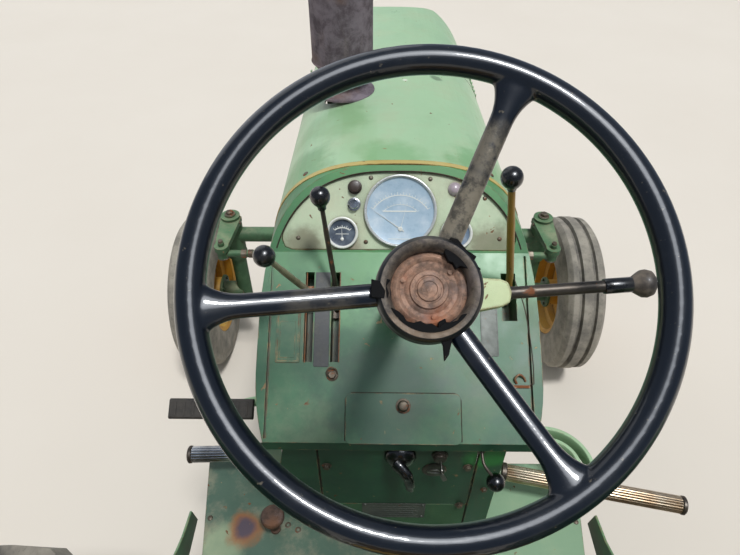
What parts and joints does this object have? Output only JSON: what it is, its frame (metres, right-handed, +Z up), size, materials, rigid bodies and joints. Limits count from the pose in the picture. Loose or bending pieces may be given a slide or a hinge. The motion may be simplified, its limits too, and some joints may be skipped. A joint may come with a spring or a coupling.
{
  "type": "vintage row-crop farm tractor",
  "caption": "Vintage row-crop farm tractor with open engine sides, steered wide front axle, upright exhaust stack, flat-top fenders and a rear three-point hitch.",
  "frame": {"origin": "on the ground under the middle of the tractor's bounding box", "axes": "+Y forward, +X to the driver's right, +Z up"},
  "size_m": [2.1498, 3.65, 2.38],
  "materials": {
    "green_paint": "faded and scuffed",
    "green_casting": "oily, dusty cast paint",
    "yellow_paint": "faded and dusty",
    "rusty_steel": "rusted",
    "worn_steel": "worn",
    "chrome": "pitted",
    "panel_paint": "textured",
    "gauge": "glazed dial",
    "black_plastic": "polished by hands",
    "black_rubber": "worn",
    "tyre_rubber": "dusty",
    "seat_vinyl": "worn vinyl",
    "lamp_glass": "clear"
  },
  "bodies": {
    "chassis": {"transmission_case": "green_casting", "riser": "green_paint", "axle_housings": "green_casting", "engine_block": "green_casting", "cylinder_head": "green_casting", "exhaust_manifold": "rusty_steel", "engine_accessories": "worn_steel", "side_frame": "green_casting", "front_support": "green_casting", "front_axle": "green_casting", "radiator": "green_casting", "fuel_tank": "green_paint", "hood": "green_paint", "grille": "green_paint", "muffler": "rusty_steel", "cowl": "green_paint", "instrument_panel": "panel_paint", "gauges": "gauge", "control_levers": "black_plastic", "hand_throttle": "worn_steel", "steering_column": "green_paint", "platform": "green_paint", "pedals": "green_paint", "foot_rests": "chrome", "fender_left": "green_paint", "fender_right": "green_paint", "lamps": "lamp_glass", "seat_pedestal": "green_paint", "seat_cushion": "seat_vinyl", "seat_back": "seat_vinyl", "drawbar": "green_casting", "pto_shaft": "worn_steel", "battery_boxes": "green_paint"},
    "steering_wheel": {"steering_wheel": "black_plastic"},
    "steering_arm": {"steering_arm": "green_casting"},
    "tie_rod_left": {"tie_rod_left": "green_casting"},
    "tie_rod_right": {"tie_rod_right": "green_casting"},
    "knuckle_left": {"knuckle_left": "green_casting"},
    "knuckle_right": {"knuckle_right": "green_casting"},
    "front_wheel_left": {"front_rim_left": "yellow_paint", "front_tyre_left": "tyre_rubber"},
    "front_wheel_right": {"front_rim_right": "yellow_paint", "front_tyre_right": "tyre_rubber"},
    "rear_wheel_left": {"rear_rim_left": "yellow_paint", "rear_tyre_left": "tyre_rubber"},
    "rear_wheel_right": {"rear_rim_right": "yellow_paint", "rear_tyre_right": "tyre_rubber"},
    "fan": {"fan": "yellow_paint"},
    "lower_links": {"lower_links": "green_casting"},
    "lift_arms": {"lift_arms": "green_casting"},
    "drop_links": {"drop_links": "worn_steel"}
  },
  "joints": [
    {"name": "steer_left", "type": "hinge", "parent": "chassis", "child": "knuckle_left", "pos_m": [-0.693, 1.345, 0.72], "axis": [0, 0, 1], "range_deg": [-50, 50]},
    {"name": "steer_right", "type": "hinge", "parent": "chassis", "child": "knuckle_right", "pos_m": [0.693, 1.345, 0.72], "axis": [0, 0, 1], "range_deg": [-50, 50]},
    {"name": "steer_centre", "type": "hinge", "parent": "chassis", "child": "steering_arm", "pos_m": [0, 1.345, 0.802], "axis": [0, 0, 1], "range_deg": [-50, 50]},
    {"name": "tie_rod_left_turn", "type": "hinge", "parent": "steering_arm", "child": "tie_rod_left", "pos_m": [-0.03, 1.145, 0.771], "axis": [0, 0, 1], "range_deg": [-52, 52]},
    {"name": "tie_rod_right_turn", "type": "hinge", "parent": "steering_arm", "child": "tie_rod_right", "pos_m": [0.03, 1.145, 0.771], "axis": [0, 0, 1], "range_deg": [-52, 52]},
    {"name": "steering_wheel_turn", "type": "hinge", "parent": "chassis", "child": "steering_wheel", "pos_m": [0, -0.304, 1.934], "axis": [0, -0.6428, 0.766], "range_deg": [-630, 630]},
    {"name": "front_wheel_left_spin", "type": "hinge", "parent": "knuckle_left", "child": "front_wheel_left", "pos_m": [-0.873, 1.345, 0.3725], "axis": [1, 0, 0], "continuous": true},
    {"name": "front_wheel_right_spin", "type": "hinge", "parent": "knuckle_right", "child": "front_wheel_right", "pos_m": [0.873, 1.345, 0.3725], "axis": [1, 0, 0], "continuous": true},
    {"name": "rear_wheel_left_spin", "type": "hinge", "parent": "chassis", "child": "rear_wheel_left", "pos_m": [-0.86, -0.935, 0.8], "axis": [1, 0, 0], "continuous": true},
    {"name": "rear_wheel_right_spin", "type": "hinge", "parent": "chassis", "child": "rear_wheel_right", "pos_m": [0.86, -0.935, 0.8], "axis": [1, 0, 0], "continuous": true},
    {"name": "fan_spin", "type": "hinge", "parent": "chassis", "child": "fan", "pos_m": [0, 1.123, 1.255], "axis": [0, 1, 0], "continuous": true},
    {"name": "hitch_lift", "type": "hinge", "parent": "chassis", "child": "lower_links", "pos_m": [0, -0.875, 0.56], "axis": [-1, 0, 0], "range_deg": [-8, 22]},
    {"name": "lift_arm_turn", "type": "hinge", "parent": "chassis", "child": "lift_arms", "pos_m": [0, -1.105, 1], "axis": [-1, 0, 0], "range_deg": [-14, 38.5]},
    {"name": "drop_link_turn", "type": "hinge", "parent": "lift_arms", "child": "drop_links", "pos_m": [0, -1.435, 1], "axis": [-1, 0, 0], "range_deg": [-38.5, 14]}
  ],
  "couplings": [
    {"joint": "steer_right", "follows": "steer_left", "ratio": 1},
    {"joint": "steer_centre", "follows": "steer_left", "ratio": 1},
    {"joint": "tie_rod_left_turn", "follows": "steer_left", "ratio": -1.039},
    {"joint": "tie_rod_right_turn", "follows": "steer_left", "ratio": -1.039},
    {"joint": "steering_wheel_turn", "follows": "steer_left", "ratio": 12.6},
    {"joint": "lift_arm_turn", "follows": "hitch_lift", "ratio": 1.75},
    {"joint": "drop_link_turn", "follows": "hitch_lift", "ratio": -1.75}
  ]
}
